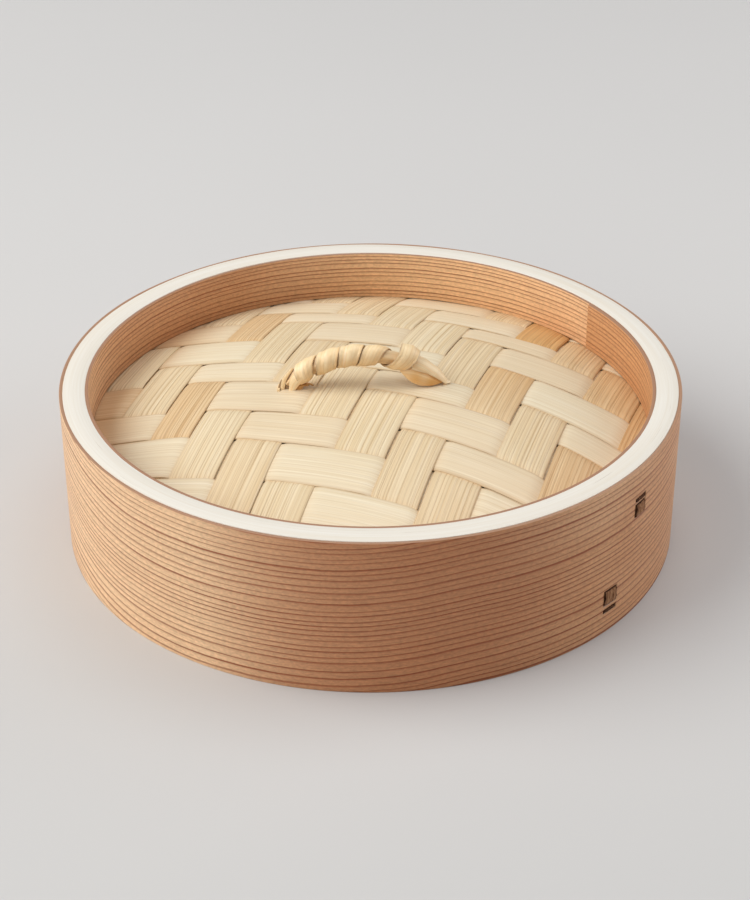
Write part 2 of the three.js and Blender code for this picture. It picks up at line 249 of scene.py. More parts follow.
def cedar_material(name, radius, early, late, deep, edge, light_and_shade_tints, pitch, dip_depth, tone_colour=None):
    """Straight-grained cedar bent round the wall. Thin dark growth lines run along it and dip on one side.
    Each tint is painted light or painted shade on one side of the ring: an azimuth and a half width in degrees,
    a colour, and how strong it is."""
    g = Graph(name, 0.5)
    g.shader.inputs["Specular IOR Level"].default_value = 0.5
    x, y, z = g.parts(g.object_place())

    def side(azimuth, half_width):
        """1 on this side of the ring, easing to 0 half_width degrees away from it."""
        turn, furthest = math.radians(azimuth), radius * MM
        along = g.plus(g.times(x, math.cos(turn)), g.times(y, math.sin(turn)))
        inputs = {"Value": along, 1: math.cos(math.radians(half_width)) * furthest, 2: furthest}
        return g.node("ShaderNodeMapRange", inputs, interpolation_type="SMOOTHSTEP").outputs[0]

    height = g.plus(g.times(z, 1 / MM), g.times(side(DIP_AZIMUTH, DIP_HALF_WIDTH), dip_depth))

    def round_noise(sideways, upward, detail=3.0):
        run = g.vector(g.times(x, sideways), g.times(y, sideways), g.times(z, upward))
        return g.noise(run, detail=detail)

    slow, ripple = round_noise(9, 16), round_noise(60, 70)
    uneven = g.noise(g.vector(0.3, 0.7, g.times(height, 0.10)), detail=0)
    crowded = g.noise(g.vector(5.3, 1.7, g.times(height, 0.34)), detail=0)
    wavy = height
    for source, size in ((slow, 2.4), (ripple, 0.5), (uneven, 5.0), (crowded, 1.9)):
        wavy = g.plus(wavy, g.times(source, size))
    ring_at = g.math("DIVIDE", wavy, pitch)
    each = g.node("ShaderNodeTexWhiteNoise", {"W": g.math("FLOOR", ring_at)}, noise_dimensions="1D")
    each = each.outputs["Value"]
    ramp = g.node("ShaderNodeValToRGB", {"Fac": g.math("FRACT", ring_at)})
    stops = ramp.color_ramp.elements
    for position, level in RING_SHAPE:
        ends = {0.0: stops[0], 1.0: stops[-1]}
        stop = ends[position] if position in ends else stops.new(position)
        stop.color = (level, level, level, 1)
    line = g.times(ramp.outputs[0], g.remap(each, 0, 1, 0.6, 1.0))
    line = g.times(line, g.remap(round_noise(14, 240), 0.3, 0.6, 0.7, 1.0))
    fibre, fleck = round_noise(60, 2600), round_noise(700, 1500, 2.0)
    base = g.mix(g.remap(slow, 0.35, 0.65), early, deep)
    base = g.mix(g.remap(each, 0.0, 1.0, 0.0, 0.4), base, deep)
    base = g.mix(g.remap(uneven, 0.5, 0.7, 0.0, 0.5), base, deep)
    # Painted light and painted shade: each tint makes the side that faces towards or away from the lamps
    # lighter or darker.
    for azimuth, half_width, tint, strength in light_and_shade_tints:
        base = g.mix(g.times(side(azimuth, half_width), strength), base, tint)
    if tone_colour:
        base = g.mix(g.attribute("tone"), base, tone_colour)
    colour = g.mix(line, base, late)
    shade = g.plus(g.remap(fibre, 0.3, 0.7, 0.91, 1.07), g.remap(fleck, 0.3, 0.7, -0.13, 0.13))
    colour = g.shaded(colour, shade)
    upward = g.parts(g.node("ShaderNodeNewGeometry").outputs["Normal"])[2]
    colour = g.mix(g.remap(upward, 0.35, 0.7), colour, edge)
    relief = g.minus(g.plus(fibre, g.times(fleck, 0.8)), g.times(line, 0.6))
    return g.finish(colour, relief, 0.00012, 0.6)


def white_wood_material():
    """Planed pale softwood, seen on the rim: faint fibres round the hoop and a few hairlines."""
    g = Graph("white_wood", 0.6)
    x, y, z = g.parts(g.object_place())
    radius = g.math("SQRT", g.plus(g.times(x, x), g.times(y, y)))
    layer = g.plus(g.times(radius, 1900), g.times(z, 1300))

    def streaks(lengthways, sideways, detail=3.0):
        run = g.vector(g.times(x, lengthways), g.times(y, lengthways), g.times(layer, sideways))
        return g.noise(run, detail=detail)

    fibre, wide, cracks = streaks(22, 1.0, 4), streaks(12, 0.22), streaks(34, 1.4)
    colour = g.mix(g.remap(fibre, 0.3, 0.75), srgb(234, 229, 219), srgb(227, 219, 205))
    colour = g.mix(g.remap(wide, 0.45, 0.8, 0, 0.4), colour, srgb(222, 209, 186))
    colour = g.mix(g.remap(cracks, 0.70, 0.76, 0, 0.6), colour, srgb(150, 130, 105))
    return g.finish(colour, fibre, 0.00004, 0.4)


def bamboo_material(name, pale, shade, golden, dark_golden, groove, line_depth, roughness=0.5):
    """Split bamboo: fibres run along the strip. The tone attribute turns it from pale to golden, and a second
    attribute darkens it, painted shade in its grooves, along its edges, and in creases and slits."""
    g = Graph(name, roughness)
    along, across = g.grain_place()

    def streaks(lengthways, sideways, detail=2.0):
        run = g.vector(g.times(along, lengthways), g.times(across, sideways))
        return g.noise(run, detail=detail)

    fibre, hair = streaks(0.035, 3.0, 4.0), streaks(0.05, 9.0)
    streak, cloud = streaks(0.012, 0.8), streaks(0.05, 0.09)
    tone = g.attribute("tone")
    colour = g.mix(g.remap(streak, 0.3, 0.7), g.mix(tone, pale, golden), g.mix(tone, shade, dark_golden))
    colour = g.mix(g.remap(cloud, 0.4, 0.75, 0, 0.35), colour, g.mix(tone, shade, dark_golden))
    value = g.plus(g.remap(fibre, 0.25, 0.75, 0.93, 1.05), g.remap(hair, 0.3, 0.7, -0.035, 0.035))
    colour = g.shaded(colour, value)
    line_place = g.plus(g.times(across, 0.95), g.times(streaks(0.02, 0.3), 0.6))
    from_line = g.node("ShaderNodeTexVoronoi", {"W": line_place, "Scale": 1.0}, voronoi_dimensions="1D",
                       feature="DISTANCE_TO_EDGE").outputs["Distance"]
    patchy = g.remap(streaks(0.008, 0.9), 0.35, 0.6, 0.15, 1.0)
    line = g.times(g.times(g.remap(from_line, 0.02, 0.10, 1, 0), patchy), line_depth)
    # Painted shade from the second attribute: in grooves, at edges, in creases and in slits.
    line = g.math("MAXIMUM", line, g.times(g.attribute("groove"), 0.75))
    light = g.remap(streaks(0.015, 1.7), 0.60, 0.68, 0, 0.30)
    colour = g.mix(g.times(light, g.minus(1.0, tone)), colour, srgb(247, 236, 222))
    colour = g.mix(line, colour, g.mix(tone, groove, srgb(158, 108, 62)))
    relief = g.minus(g.times(fibre, 0.6), line)
    return g.finish(colour, relief, 0.00009, 0.6)


def leaf_material():
    """Dried leaf between the mats, dark in the small holes of the weave."""
    g = Graph("leaf", 0.8)
    place = g.object_place()
    x, y, _ = g.parts(place)
    vein = g.noise(g.vector(g.times(x, 30), g.times(y, 900)), detail=2)
    patch = g.noise(place, 40)
    colour = g.mix(g.remap(vein, 0.3, 0.7), srgb(160, 118, 72), srgb(118, 82, 46))
    colour = g.mix(g.remap(patch, 0.4, 0.7), colour, srgb(168, 130, 80))
    return g.finish(colour, vein, 0.0001, 0.5)


def bark_material():
    """Dark tree bark strip with fine streaks along it."""
    g = Graph("bark", 0.85)
    g.shader.inputs["Specular IOR Level"].default_value = 0.15
    along, across = g.grain_place()
    streak = g.noise(g.vector(g.times(along, 0.4), g.times(across, 2.6)), detail=3)
    colour = g.mix(g.remap(streak, 0.35, 0.65), srgb(124, 80, 54), srgb(196, 148, 108))
    # Painted shade: the bark is darkened where it lies in the band's slits and along its edges.
    colour = g.mix(g.times(g.attribute("groove"), 0.9), colour, srgb(52, 26, 14))
    return g.finish(colour, streak, 0.0002, 0.8)


def floor_material():
    """Pale paper, with painted shade that makes it a little darker towards the camera."""
    g = Graph("floor_paper", 0.85)
    place = g.object_place()
    soft = g.noise(place, 1.5, 2)
    forward = g.parts(place)[1]
    colour = g.mix(g.remap(soft, 0.3, 0.7), srgb(208, 206, 204), srgb(204, 202, 200))
    # Painted shade: darker towards the camera.
    colour = g.mix(g.remap(forward, -0.05, -0.35), colour, srgb(198, 197, 195))
    return g.finish(colour)


# ---------------------------------------------------------------- meshes
def make_mesh(name, points, faces, material, grain=None, tone=None, groove=None, sharp=40):
    """A piece from points in millimetres. grain is one (along, across) pair for each point."""
    mesh = bpy.data.meshes.new(name)
    mesh.from_pydata((np.asarray(points) * MM).tolist(), [], faces)
    mesh.polygons.foreach_set("use_smooth", [True] * len(mesh.polygons))
    mesh.set_sharp_from_angle(angle=math.radians(sharp))
    if grain is not None:
        corner = np.empty(len(mesh.loops), int)
        mesh.loops.foreach_get("vertex_index", corner)
        layer = mesh.uv_layers.new(name="grain")
        layer.data.foreach_set("uv", np.asarray(grain, float)[corner].astype(np.float32).ravel())
    for key, values in (("tone", tone), ("groove", groove)):
        if values is not None:
            layer = mesh.attributes.new(key, "FLOAT", "POINT")
            layer.data.foreach_set("value", np.asarray(values, np.float32).ravel())
    mesh.materials.append(material)
    piece = bpy.data.objects.new(name, mesh)
    bpy.context.collection.objects.link(piece)
    return piece


def loft_faces(rows, sides, wrap):
    """Faces through rows of equally many points; wrap joins the last row to the first."""
    faces = []
    for k in range(rows if wrap else rows - 1):
        this, after = k * sides, (k + 1) % rows * sides
        for i in range(sides):
            beside = (i + 1) % sides
            faces.append((this + i, this + beside, after + beside, after + i))
    if not wrap:
        last = (rows - 1) * sides
        faces += [tuple(reversed(range(sides))), tuple(range(last, last + sides))]
    return faces


def loft(name, rings, material, wrap=False, flip=False, **details):
    """A piece through rows of points; flip turns its faces the other way."""
    rings = np.asarray(rings)
    rows, sides = rings.shape[:2]
    faces = loft_faces(rows, sides, wrap)
    if flip:
        faces = [face[::-1] for face in faces]
    return make_mesh(name, rings.reshape(-1, 3), faces, material, **details)


def doubled(values):
    """Values of a strip's one side, then the same for its other side on the way back."""
    return np.concatenate([values, values[:, ::-1]], 1)


def smooth_step(value):
    value = np.clip(value, 0, 1)
    return value * value * (3 - 2 * value)


def wander(value, step, size):
    """A smooth random line: about +-size, with a new random height every step."""
    value = np.asarray(value, float)
    first = math.floor(value.min() / step) - 1
    heights = rng.uniform(-size, size, int(value.max() / step) - first + 3)
    place = value / step - first
    low = np.floor(place).astype(int)
    part = smooth_step(place - low)
    return heights[low] * (1 - part) + heights[low + 1] * part


# ---------------------------------------------------------------- wall
RING_STEPS = 360
BAND_EDGE = 1.15             # cedar's thickness where its edges show
LINER_EDGE = 1.1
SNUG = 0.05                  # between one hoop and the next
RIM_STEP = 0.1               # the cedar edges stand this far below the white rim
MAT_ROOM = 0.2               # between the mats' strips and the hoops that trap them
EDGE_ROOM = 0.4              # past the mats' trapped edge
JOINT_GAP = 0.1              # between the upper and the lower hoop
BAND_ROW = 1.2               # height of the band's rows of faces, kept even for the stitches' slits
WOBBLE = 0.05
WOBBLE_WAVES = (2, 3, 5, 7, 11)
WOBBLE_PHASES = 6.28


def rounded(outline, cut):
    """An outline of [radius, height] corners with each corner cut twice, for a soft edge."""
    points = []
    count = len(outline)
    for i, corner in enumerate(np.asarray(outline, float)):
        before = np.asarray(outline[i - 1], float) - corner
        after = np.asarray(outline[(i + 1) % count], float) - corner
        before /= np.linalg.norm(before)
        after /= np.linalg.norm(after)
        for backward, forward in ((1.0, 0.0), (0.3, 0.3), (0.0, 1.0)):
            points.append(corner + cut * (backward * before + forward * after))
    return np.array(points)


def divided(profile, row):
    """The same outline with no side longer than row."""
    points = []
    for start, end in zip(profile, np.roll(profile, -1, 0)):
        count = max(1, math.ceil(np.linalg.norm(end - start) / row))
        points += [start + (end - start) * k / count for k in range(count)]
    return np.array(points)


def ring(name, outline, material, cut=0.25, row=None):
    """A hoop with soft edges, its outline turned round the lid's axis. Its rim is a little uneven."""
    profile = rounded(outline, cut)
    if row:
        profile = divided(profile, row)
    turn = np.linspace(0, 2 * math.pi, RING_STEPS, endpoint=False)
    swell = sum(WOBBLE * rng.uniform(0.3, 1) * np.sin(k * turn + rng.uniform(0, WOBBLE_PHASES))
                for k in WOBBLE_WAVES)
    rings = []
    for angle, offset in zip(turn, swell):
        radius = profile[:, 0] + offset * 0.4
        height = profile[:, 1] + offset * 0.5 * (profile[:, 1] > WALL_TOP - 1)
        rings.append(np.stack([radius * math.cos(angle), radius * math.sin(angle), height], 1))
    return loft(name, rings, material, wrap=True)


def dome_height(x, y):
    """Height of the lining's middle, which both mats follow."""
    return LINING_APEX - DOME_R + np.sqrt(DOME_R ** 2 - x * x - y * y)


STACK_HALF = MAT_LEVEL + WEAVE_RISE + STRIP_THICKNESS / 2


def above_mats(r):
    return dome_height(r, 0) + STACK_HALF + MAT_ROOM


def below_mats(r):
    return dome_height(r, 0) - STACK_HALF - MAT_ROOM


def make_wall(cedar, liner_cedar, white):
    """All the hoops. They fit snugly here, where the CAD rings leave a working gap."""
    groove_end = LINING_RADIUS + EDGE_ROOM
    joint = dome_height(groove_end, 0)
    band_inner, core_outer = BAND_OUTER - BAND_EDGE, BAND_OUTER - BAND_EDGE - SNUG
    core_inner, liner_outer = LINER_INNER + LINER_EDGE + SNUG, LINER_INNER + LINER_EDGE
    band_top = WALL_TOP - RIM_STEP
    band = ring("band", [[band_inner, 0], [BAND_OUTER, 0], [BAND_OUTER, band_top], [band_inner, band_top]],
                cedar, row=BAND_ROW)
    upper = ring("hoop_upper", [
        [core_inner, above_mats(core_inner)], [groove_end, above_mats(groove_end)],
        [groove_end, joint], [core_outer, joint],
        [core_outer, WALL_TOP], [core_inner, WALL_TOP]], white, 0.12)
    lower = ring("hoop_lower", [
        [core_inner, 0], [core_outer, 0], [core_outer, joint - JOINT_GAP], [groove_end, joint - JOINT_GAP],
        [groove_end, below_mats(groove_end)], [core_inner, below_mats(core_inner)]], white, 0.18)
    pieces = [(band, "outer_band", "cedar_band"), (upper, "core_hoop_upper", "white_wood"),
              (lower, "core_hoop_lower", "white_wood")]
    for node, low, high in (("liner_upper", above_mats, WALL_TOP), ("liner_lower", 0, below_mats)):
        piece = make_liner(f"cedar_{node}", low, high, liner_outer, liner_cedar)
        pieces.append((piece, node, "cedar_liner"))
    for piece, node, slot in pieces:
        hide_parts(node)
        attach(piece, "lid")
    return band


LAP_AT = math.radians(33.8)
LAP_LENGTH = math.radians(55)
LAP_STEP = 0.7
LAP_TONE_LENGTH = 1.3 * LAP_LENGTH    # the end that laps over is darker over this length
NO_ANGLE = 1e-4


def make_liner(name, low, high, outer, material):
    """The cedar lining strip. Its end laps over its start, so one vertical edge shows inside."""
    turn = np.linspace(LAP_AT - 2 * math.pi + NO_ANGLE, LAP_AT - NO_ANGLE, RING_STEPS)
    rings, tone = [], []
    for angle in turn:
        lap = float(smooth_step(1 - (LAP_AT - angle) / LAP_LENGTH))
        inner = LINER_INNER - LAP_STEP * lap
        bottom = low(inner) if callable(low) else low
        top = high(inner) if callable(high) else high
        top -= RIM_STEP
        profile = rounded([[inner, bottom], [outer, bottom], [outer, top], [inner, top]], 0.15)
        cos, sin = math.cos(angle), math.sin(angle)
        rings.append(np.stack([profile[:, 0] * cos, profile[:, 0] * sin, profile[:, 1]], 1))
        tone.append([1.0 if LAP_AT - angle < LAP_TONE_LENGTH else 0.0] * len(profile))
    return loft(name, rings, material, tone=tone)


# ---------------------------------------------------------------- woven mats
def edges(start, widths):
    """Low and high edges of strips laid side by side."""
    pairs = []
    for width in widths:
        pairs.append((start, start + width))
        start += width + STRIP_GAP
    return pairs


def hand_woven(s, t):
    """Where a point of an even weave lies in the upper mat, whose strips are bent and pushed together."""
    pushed = 2.4 * np.exp(-((s + 50) / 20) ** 2 - ((t + 38) / 16) ** 2)
    return s + 0.035 * t + 0.00025 * t * t, t - 0.0009 * s * s * (1 + s / 110) + pushed


def evenly_woven(s, t):
    return s, t


def reach(radius_at, like):
    """How far lines of the weave run from the middle to the mats' trapped edge."""
    inside, outside = np.zeros_like(like), np.full_like(like, 120.0)
    for _ in range(26):
        middle = (inside + outside) / 2
        within = radius_at(middle) < LINING_RADIUS
        inside = np.where(within, middle, inside)
        outside = np.where(within, outside, middle)
    return inside


class Strip:
    """One flat strip of a mat, passing over and under the strips that it crosses."""

    def __init__(self, low, high, crossings, is_over, at, level, columns, grooves):
        self.low, self.high, self.crossings, self.is_over = low, high, crossings, is_over
        self.at, self.level, self.columns, self.grooves = at, level, columns, grooves

    def rise(self, along):
        """Height above the mat's middle: it eases from over to under between two crossings."""
        sign = [1 if self.is_over(i) else -1 for i in range(len(self.crossings))]
        height = np.full_like(along, float(sign[0]))
        for i in range(len(sign) - 1):
            middle = (self.crossings[i][1] + self.crossings[i + 1][0]) / 2
            height += (sign[i + 1] - sign[i]) * smooth_step((along - middle) / WEAVE_EASE + 0.5)
        return height * WEAVE_RISE

    def build(self, name, material, tone, crosswise=False):
        def radius(along, across):
            return np.hypot(*self.at(along, across))

        inner = self.low if abs(self.low) < abs(self.high) else self.high
        one = np.zeros(1)
        start = STRIP_END_ROOM - reach(lambda d: radius(-d, inner), one)[0]
        end = reach(lambda d: radius(d, inner), one)[0] - STRIP_END_ROOM
        along = np.linspace(start, end, max(8, int((end - start) / STRIP_STEP)))
        low = self.low - GAP_CLOSED + wander(along, 22, 0.22)
        high = self.high + GAP_CLOSED + wander(along, 22, 0.22)
        low = np.maximum(low, -reach(lambda d: radius(along, -d), along))
        high = np.minimum(high, reach(lambda d: radius(along, d), along))
        part = np.linspace(-1, 1, self.columns)
        across = (low[:, None] + high[:, None]) / 2 + (high - low)[:, None] / 2 * part
        length = np.repeat(along[:, None], self.columns, 1)
        x, y = self.at(length, across)
        rise = self.rise(along)
        crown, roll = STRIP_CROWN * (1 - part ** 2), wander(along, 17, 0.10)[:, None] * part
        middle = dome_height(x, y) + self.level + rise[:, None] + crown + roll
        groove = self.groove_depth(across)
        rounding = STRIP_ROUNDING * (np.abs(part) > 0.999)
        top = middle + STRIP_THICKNESS / 2 - GROOVE_DEPTH * groove - rounding
        bottom = middle - STRIP_THICKNESS / 2 + rounding * 0.6
        rings = np.concatenate([np.stack([x, y, bottom], 2), np.stack([x, y, top], 2)[:, ::-1]], 1)
        grain = np.stack([length, across + rng.uniform(0, 4000)], 2)
        # Painted shade: the edges are darkened like the grooves, and the parts that dive under others are
        # painted more golden as shade where they pass under the strips they cross.
        groove = np.maximum(groove, 0.6 * np.abs(part) ** 14)
        grooves = np.concatenate([np.zeros_like(groove), groove[:, ::-1]], 1)
        dive_shade = smooth_step(0.5 - rise / WEAVE_RISE / 2)
        tones = np.clip(tone(length, across) + 0.25 * dive_shade[:, None], 0, 1)
        return loft(name, rings, material, flip=crosswise, grain=doubled(grain).reshape(-1, 2),
                    tone=doubled(tones), groove=grooves)

    def groove_depth(self, across):
        """0 between grooves and 1 in the middle of one. Split bamboo shows its fibre bundles so."""
        depth = np.zeros_like(across)
        if not self.grooves:
            return depth
        width = self.high - self.low
        places = np.linspace(self.low, self.high, self.grooves + 2)[1:-1]
        for place in places + rng.uniform(-0.3, 0.3, self.grooves) * width / self.grooves:
            deep = rng.uniform(0.35, 1.0)
            depth = np.maximum(depth, deep * np.exp(-((across - place) / GROOVE_HALF_WIDTH) ** 2))
        return depth


def build_mat(prefix, turn, level, bend, long, cross, long_tone, cross_tone, columns, grooves=None):
    """Both families of a mat in 2/2 twill, each piece replacing the CAD strip of its number. The cross
    strips have a number of grooves drawn from the range given."""
    cos, sin = math.cos(turn), math.sin(turn)

    def at(s, t):
        u, v = bend(s, t)
        return u * cos - v * sin, u * sin + v * cos

    def long_over(j, i):
        return (i + j + 3) % 4 >= 2

    def place(piece, node):
        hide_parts(node)
        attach(piece, "lid")

    for j, (low, high) in enumerate(long):
        strip = Strip(low, high, cross, lambda i: long_over(j, i), at, level, columns[0], 0)
        piece = strip.build(f"{prefix}_long_{j + 1}", smooth_bamboo, long_tone(j))
        place(piece, f"{prefix}_mat_long_strip_{j + 1}")
    for i, (low, high) in enumerate(cross):
        strip = Strip(low, high, long, lambda j: not long_over(j, i), lambda a, b: at(b, a), level,
                      columns[1], rng.integers(*grooves) if grooves else 0)
        piece = strip.build(f"{prefix}_cross_{i + 1}", grooved_bamboo, cross_tone(i), crosswise=True)
        place(piece, f"{prefix}_mat_cross_strip_{i + 1}")


def upper_long_tone_and_shade(j):
    base = rng.uniform(0.0, 0.22)
    # The long strips' left ends are painted more golden: painted shade where the left wall shades the mat.
    return lambda along, across: base + 0.5 * smooth_step((-66 - along) / 24)


# Tone of the golden cross strips at their front and back ends.
GOLDEN = {2: (0.5, 0.5), 8: (0.18, 0.95), 9: (0.05, 0.4), 10: (0.5, 0.6), 11: (0.7, 0.7)}


def upper_cross_tone(i):
    near, far = GOLDEN.get(i, (rng.uniform(0, 0.2),) * 2)
    return lambda along, across: near + (far - near) * smooth_step((along + 40) / 110)


def lower_tone(_):
    base = rng.uniform(0.1, 0.3)
    return lambda along, across: np.full_like(along, base)


def make_lining(material):
    """The leaf lining: a thin dome between the mats."""
    steps = np.linspace(0, LINING_RADIUS, 24)[1:]
    turn = np.linspace(0, 2 * math.pi, 96, endpoint=False)
    sides = len(turn)
    points = [[0, 0, dome_height(0, 0) + LINING_THICKNESS / 2]]
    for half in (LINING_THICKNESS / 2, -LINING_THICKNESS / 2):
        for r in steps if half > 0 else steps[::-1]:
            points += [[r * math.cos(a), r * math.sin(a), dome_height(r, 0) + half] for a in turn]
    points.append([0, 0, dome_height(0, 0) - LINING_THICKNESS / 2])
    rows = 2 * len(steps)
    faces = [(0, 1 + i, 1 + (i + 1) % sides) for i in range(sides)]
    for k in range(rows - 1):
        a, b = 1 + k * sides, 1 + (k + 1) * sides
        faces += [(a + i, b + i, b + (i + 1) % sides, a + (i + 1) % sides) for i in range(sides)]
    last = 1 + (rows - 1) * sides
    faces += [(last + (i + 1) % sides, last + i, len(points) - 1) for i in range(sides)]
    piece = make_mesh("leaf_lining", points, faces, material)
    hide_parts("lining_sheet")
    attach(piece, "lid")


# ---------------------------------------------------------------- handle
UP = np.array([0, 0, 1.0])
HANDLE_CENTRE = np.array([*HANDLE_MIDDLE, 0])
HANDLE_RIGHT = np.array([math.cos(HANDLE_TURN), math.sin(HANDLE_TURN), 0])
HANDLE_FRONT = np.array([math.sin(HANDLE_TURN), -math.cos(HANDLE_TURN), 0])
WRAP_PITCH_PLACES = [-0.4, 0, 1, 2, 3, 4, 4.5]     # turns of the ribbon ...
WRAP_CENTRES = [-20.6, -18.6, -11.2, -3.9, 3.4, 14.1, 16.4]   # ... and how far along the handle each is
WRAP_HALF_WIDTHS = [2.4, 3.0, 3.5, 3.5, 3.4, 3.1, 2.4]
WRAP_RADIUS = 2.95
WRAP_BARREL = 0.85           # how far a turn bulges
WRAP_LENGTH = 2 * math.pi * 3.4       # of ribbon in one turn
WRAP_START = math.radians(45)
RIBBON_THICKNESS = 0.5
BUNDLE_HALF_LENGTH = 25.6
BUNDLE_RADIUS = 2.35
FOOT_FLOOR = 50.6            # the draped end lies on the mat at this height
LOOSE_TURN = 4.14            # this turn stands off the bundle as an open loop
LOOSE_RISE = 2.5
LOOSE_SPREAD = 0.24
# The ribbon's first end at the left foot, in flat blades from the slit in the mat up to the first turn:
# name, points as for by_handle, widths, painted shade and tone. The tip and the crease blade are
# painted dark: painted shade in the slit and in the deep crease between two layers of the ribbon, the
# crease blade being a dark sheet set in for that shade. The fold is a real fold, painted brown and
# darkened as a painted shadow along its gap line on the mat.
LEFT_FOOT = (
    ("foot_left_tip", [[-28.3, 0.7, 49.4], [-28.0, 0.6, 51.8], [-27.3, 0.5, 54.2]], [1.0, 0.7, 0.2], 0.9, 0.06),
    ("foot_left_outer", [[-27.2, 0.8, 49.4], [-26.9, 0.8, 52.0], [-25.9, 0.6, 54.9], [-23.4, 0.2, 58.3]],
     [1.7, 1.6, 1.4, 1.0], 0.0, 0.06),
    ("foot_left_crease", [[-25.8, 0.4, 49.4], [-25.5, 0.5, 52.0], [-24.6, 0.5, 54.8], [-22.7, 0.2, 58.0]],
     [1.8, 1.7, 1.5, 0.9], 1.0, 0.06),
    ("foot_left_inner", [[-24.2, 1.8, 49.5], [-23.6, 2.2, 51.6], [-22.9, 2.7, 53.7], [-21.5, 2.9, 55.6],
                         [-19.6, 2.7, 57.0]], [2.0, 2.4, 3.6, 4.6, 4.4], 0.0, 0.06),
    ("foot_left_fold", [[-22.7, 1.6, 49.6], [-21.9, 1.9, 51.4], [-20.2, 1.6, 52.6], [-16.4, 0.4, 51.9]],
     [0.8, 2.8, 2.4, 0.3], 0.55, 1.0))
# Both edges of the fold that hangs below the right leg.
FOLD_UPPER = [[12.7, 2.9, 57.8], [16.9, 3.5, 58.3], [21.0, 3.2, 56.9], [24.6, 2.5, 54.8], [27.5, 1.5, 52.0]]
FOLD_LOWER = [[12.8, 2.9, 57.3], [15.9, 3.9, 54.2], [19.6, 3.8, 52.2], [24.0, 3.0, 51.6], [27.5, 1.3, 51.7]]


def arch(u):
    """Centre of the handle's arch at u millimetres along it from its middle."""
    u = np.asarray(u, float)
    part = np.minimum(np.abs(u) / HANDLE_HALF_SPAN, 1.08)
    height = HANDLE_FOOT_Z + HANDLE_RISE * (1 - part ** HANDLE_POWER)
    return HANDLE_CENTRE + u[..., None] * HANDLE_RIGHT + height[..., None] * UP


def arch_up(u):
    """The direction square to the arch, in its own upright plane."""
    along = arch(np.asarray(u) + 0.05) - arch(np.asarray(u) - 0.05)
    along /= np.linalg.norm(along, axis=-1, keepdims=True)
    up = np.cross(along, HANDLE_FRONT)
    return up * np.sign(up[..., 2:3])


def sheet(name, upper, normal, thickness, material, length, sideways, **levels):
    """A thin curved strip: upper is a grid of points, normal the way its outer face looks. Its grain map
    has a length for each row and a way sideways for each point."""
    rings = np.concatenate([upper, (upper - normal * thickness)[:, ::-1]], 1)
    here = upper[1:-1, 1:-1]
    facing = np.cross(here - upper[:-2, 1:-1], here - upper[1:-1, :-2])
    outward = (facing * normal[1:-1, 1:-1]).sum() > 0
    grain = np.stack([np.broadcast_to(length[:, None], sideways.shape), sideways], 2)
    levels = {key: doubled(level) for key, level in levels.items()}
    return loft(name, rings, material, flip=bool(outward), grain=doubled(grain).reshape(-1, 2), **levels)


def grid_normals(points, towards):
    """Unit normals of a grid of points, turned to look towards the given direction field."""
    rows = np.gradient(points, axis=0)
    columns = np.gradient(points, axis=1)
    normal = np.cross(rows, columns)
    normal /= np.linalg.norm(normal, axis=2, keepdims=True) + 1e-9
    return normal * np.where((normal * towards).sum(2, keepdims=True) < 0, -1, 1)


def make_bundle(material):
    """Split bamboo sticks side by side in an arch. Only slits between the turns show them."""
    u = np.linspace(-BUNDLE_HALF_LENGTH, BUNDLE_HALF_LENGTH, 110)
    turn = np.linspace(0, 2 * math.pi, 28, endpoint=False)
    centre, up = arch(u), arch_up(u)
    radius = BUNDLE_RADIUS * (1 + 0.10 * np.cos(5 * turn)[None])
    radius = radius * (1 - 0.55 * smooth_step((np.abs(u) - 21) / 4.6))[:, None]
    ring_up = np.cos(turn)[None, :, None] * up[:, None] + np.sin(turn)[None, :, None] * HANDLE_FRONT
    rings = centre[:, None] + radius[..., None] * ring_up
    grain = np.stack([np.repeat(u[:, None], len(turn), 1), np.repeat(turn[None] * 2.3, len(u), 0)], 2)
    # The bundle has a little painted shade, as it shows only in the slits between the turns.
    return loft("bundle", rings, material, grain=grain.reshape(-1, 2),
                tone=np.full(rings.shape[:2], 0.25), groove=np.full(rings.shape[:2], 0.15))


def make_ribbon(material):
    """The shaved ribbon round the bundle. Each turn bulges like a barrel, and one stands loose."""
    turns = np.linspace(WRAP_PITCH_PLACES[0], WRAP_PITCH_PLACES[-1], 460)
    across = np.linspace(-1, 1, 15)
    half = np.interp(turns, WRAP_PITCH_PLACES, WRAP_HALF_WIDTHS) + wander(turns, 0.45, 0.22)
    middle = np.interp(turns, WRAP_PITCH_PLACES, WRAP_CENTRES) + wander(turns, 0.6, 0.25)
    u = middle[:, None] + half[:, None] * across
    loose = np.exp(-((turns - LOOSE_TURN) / LOOSE_SPREAD) ** 2)
    base = WRAP_RADIUS + wander(turns, 0.3, 0.16) + LOOSE_RISE * loose
    crease = np.stack([wander(turns, 0.07, 0.10) for _ in across], 1)
    # Both edges curl up, the one at the left more.
    left, right = 0.3 + np.abs(wander(turns, 0.5, 1.0)), np.abs(wander(turns, 0.4, 1.0))
    curl = 0.8 * np.exp(-((across + 1) / 0.25) ** 2)[None] * left[:, None]
    curl = curl + 0.7 * np.exp(-((across - 1) / 0.2) ** 2)[None] * right[:, None]
    radius = base[:, None] + WRAP_BARREL * (1 - across ** 2) + crease + curl
    spin = WRAP_START - 2 * math.pi * turns
    out = np.cos(spin)[:, None, None] * arch_up(u) + np.sin(spin)[:, None, None] * HANDLE_FRONT
    points = arch(u) + radius[..., None] * out
    normal = grid_normals(points, out)
    tone = np.abs(np.stack([wander(turns, 0.35, 0.5) for _ in across], 1))
    tone = 0.05 + tone.cumsum(1) / len(across)
    # Painted shade along both edges, where the turns lap over and leave slits.
    groove = np.repeat(0.6 * (np.abs(across) > 0.99)[None], len(turns), 0)
    return sheet("ribbon", points, normal, RIBBON_THICKNESS, material, turns * WRAP_LENGTH,
                 half[:, None] * across + 50, tone=np.clip(tone, 0, 0.55), groove=groove)


